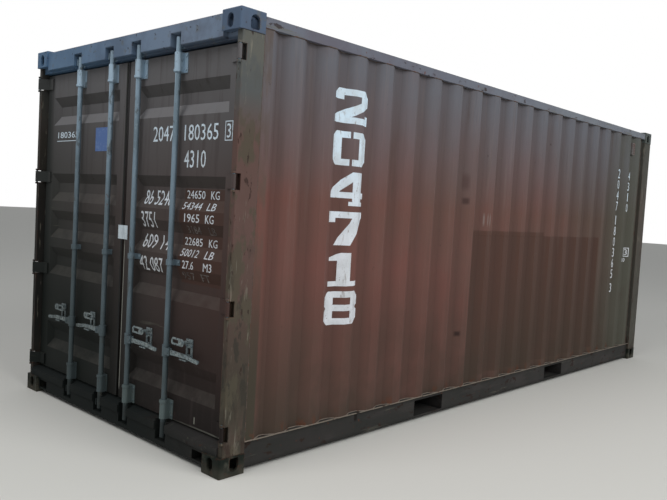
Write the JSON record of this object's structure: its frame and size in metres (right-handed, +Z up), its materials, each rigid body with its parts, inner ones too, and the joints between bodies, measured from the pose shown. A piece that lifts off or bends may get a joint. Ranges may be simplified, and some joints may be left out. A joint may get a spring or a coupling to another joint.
{
  "type": "shipping container",
  "caption": "Steel freight container with corrugated walls and roof, plywood floor, fork pockets, corner fittings and two hinged door leaves with locking bars.",
  "frame": {"origin": "on the ground under the middle of the box", "axes": "+Z up, +X to the right as one faces the doors, the doors face -Y and the closed end faces +Y"},
  "size_m": [2.438, 6.058, 2.591],
  "materials": {
    "side_paint": "matt",
    "door_paint": "matt",
    "rail_paint": "matt",
    "post_paint": "worn",
    "fitting_paint": "worn",
    "roof_paint": "matt",
    "galvanised": "weathered",
    "rubber": "matt",
    "plywood": "worn",
    "vent_plastic": "matt"
  },
  "bodies": {
    "container": {"bottom_corner_fittings": "rail_paint", "top_fitting_rear_left": "fitting_paint", "top_fitting_rear_right": "fitting_paint", "top_fitting_front_left": "fitting_paint", "top_fitting_front_right": "fitting_paint", "rear_post_left": "post_paint", "rear_post_right": "post_paint", "front_post_left": "post_paint", "front_post_right": "post_paint", "door_header": "rail_paint", "door_sill": "rail_paint", "cam_keepers": "galvanised", "hinge_pins": "galvanised", "front_top_rail": "rail_paint", "front_bottom_rail": "rail_paint", "top_side_rail_left": "rail_paint", "top_side_rail_right": "rail_paint", "bottom_side_rail_left": "rail_paint", "bottom_side_rail_right": "rail_paint", "side_wall_left": "side_paint", "side_wall_right": "side_paint", "front_wall": "side_paint", "roof_panel": "roof_paint", "roof_end_plates": "rail_paint", "floor_cross_members": "rail_paint", "fork_pocket_plates": "rail_paint", "floor_boards": "plywood", "side_vents": "vent_plastic"},
    "left_door": {"left_door_frame": "door_paint", "left_door_panel": "door_paint", "left_door_gasket": "rubber", "left_door_bar_guides": "galvanised", "left_door_handle_holders": "galvanised"},
    "right_door": {"right_door_frame": "door_paint", "right_door_panel": "door_paint", "right_door_gasket": "rubber", "right_door_bar_guides": "galvanised", "right_door_handle_holders": "galvanised"},
    "bar_1": {"locking_bar_1": "galvanised"},
    "handle_1": {"bar_handle_1": "galvanised"},
    "catch_1": {"handle_catch_1": "galvanised"},
    "bar_2": {"locking_bar_2": "galvanised"},
    "handle_2": {"bar_handle_2": "galvanised"},
    "catch_2": {"handle_catch_2": "galvanised"},
    "bar_3": {"locking_bar_3": "galvanised"},
    "handle_3": {"bar_handle_3": "galvanised"},
    "catch_3": {"handle_catch_3": "galvanised"},
    "bar_4": {"locking_bar_4": "galvanised"},
    "handle_4": {"bar_handle_4": "galvanised"},
    "catch_4": {"handle_catch_4": "galvanised"}
  },
  "joints": [
    {"name": "left_door_hinge", "type": "hinge", "parent": "container", "child": "left_door", "pos_m": [-1.199, -3.01, 1.3], "axis": [0, 0, -1], "range_deg": [0, 265]},
    {"name": "right_door_hinge", "type": "hinge", "parent": "container", "child": "right_door", "pos_m": [1.199, -3.01, 1.3], "axis": [0, 0, 1], "range_deg": [0, 265]},
    {"name": "bar_1_turn", "type": "hinge", "parent": "left_door", "child": "bar_1", "pos_m": [-0.6, -2.989, 1.3], "axis": [0, 0, -1], "range_deg": [-100, 0]},
    {"name": "handle_1_lift", "type": "hinge", "parent": "bar_1", "child": "handle_1", "pos_m": [-0.646, -2.999, 0.617], "axis": [0, -1, 0], "range_deg": [-16, 0]},
    {"name": "catch_1_turn", "type": "hinge", "parent": "left_door", "child": "catch_1", "pos_m": [-0.795, -3.0145, 0.697], "axis": [0, 1, 0], "range_deg": [0, 90]},
    {"name": "bar_2_turn", "type": "hinge", "parent": "left_door", "child": "bar_2", "pos_m": [-0.165, -2.989, 1.3], "axis": [0, 0, -1], "range_deg": [-100, 0]},
    {"name": "handle_2_lift", "type": "hinge", "parent": "bar_2", "child": "handle_2", "pos_m": [-0.211, -2.999, 0.617], "axis": [0, -1, 0], "range_deg": [-16, 0]},
    {"name": "catch_2_turn", "type": "hinge", "parent": "left_door", "child": "catch_2", "pos_m": [-0.36, -3.0145, 0.697], "axis": [0, 1, 0], "range_deg": [0, 90]},
    {"name": "bar_3_turn", "type": "hinge", "parent": "right_door", "child": "bar_3", "pos_m": [0.165, -2.989, 1.3], "axis": [0, 0, 1], "range_deg": [-100, 0]},
    {"name": "handle_3_lift", "type": "hinge", "parent": "bar_3", "child": "handle_3", "pos_m": [0.211, -2.999, 0.617], "axis": [0, 1, 0], "range_deg": [-16, 0]},
    {"name": "catch_3_turn", "type": "hinge", "parent": "right_door", "child": "catch_3", "pos_m": [0.36, -3.0145, 0.697], "axis": [0, -1, 0], "range_deg": [0, 90]},
    {"name": "bar_4_turn", "type": "hinge", "parent": "right_door", "child": "bar_4", "pos_m": [0.6, -2.989, 1.3], "axis": [0, 0, 1], "range_deg": [-100, 0]},
    {"name": "handle_4_lift", "type": "hinge", "parent": "bar_4", "child": "handle_4", "pos_m": [0.646, -2.999, 0.617], "axis": [0, 1, 0], "range_deg": [-16, 0]},
    {"name": "catch_4_turn", "type": "hinge", "parent": "right_door", "child": "catch_4", "pos_m": [0.795, -3.0145, 0.697], "axis": [0, -1, 0], "range_deg": [0, 90]}
  ]
}
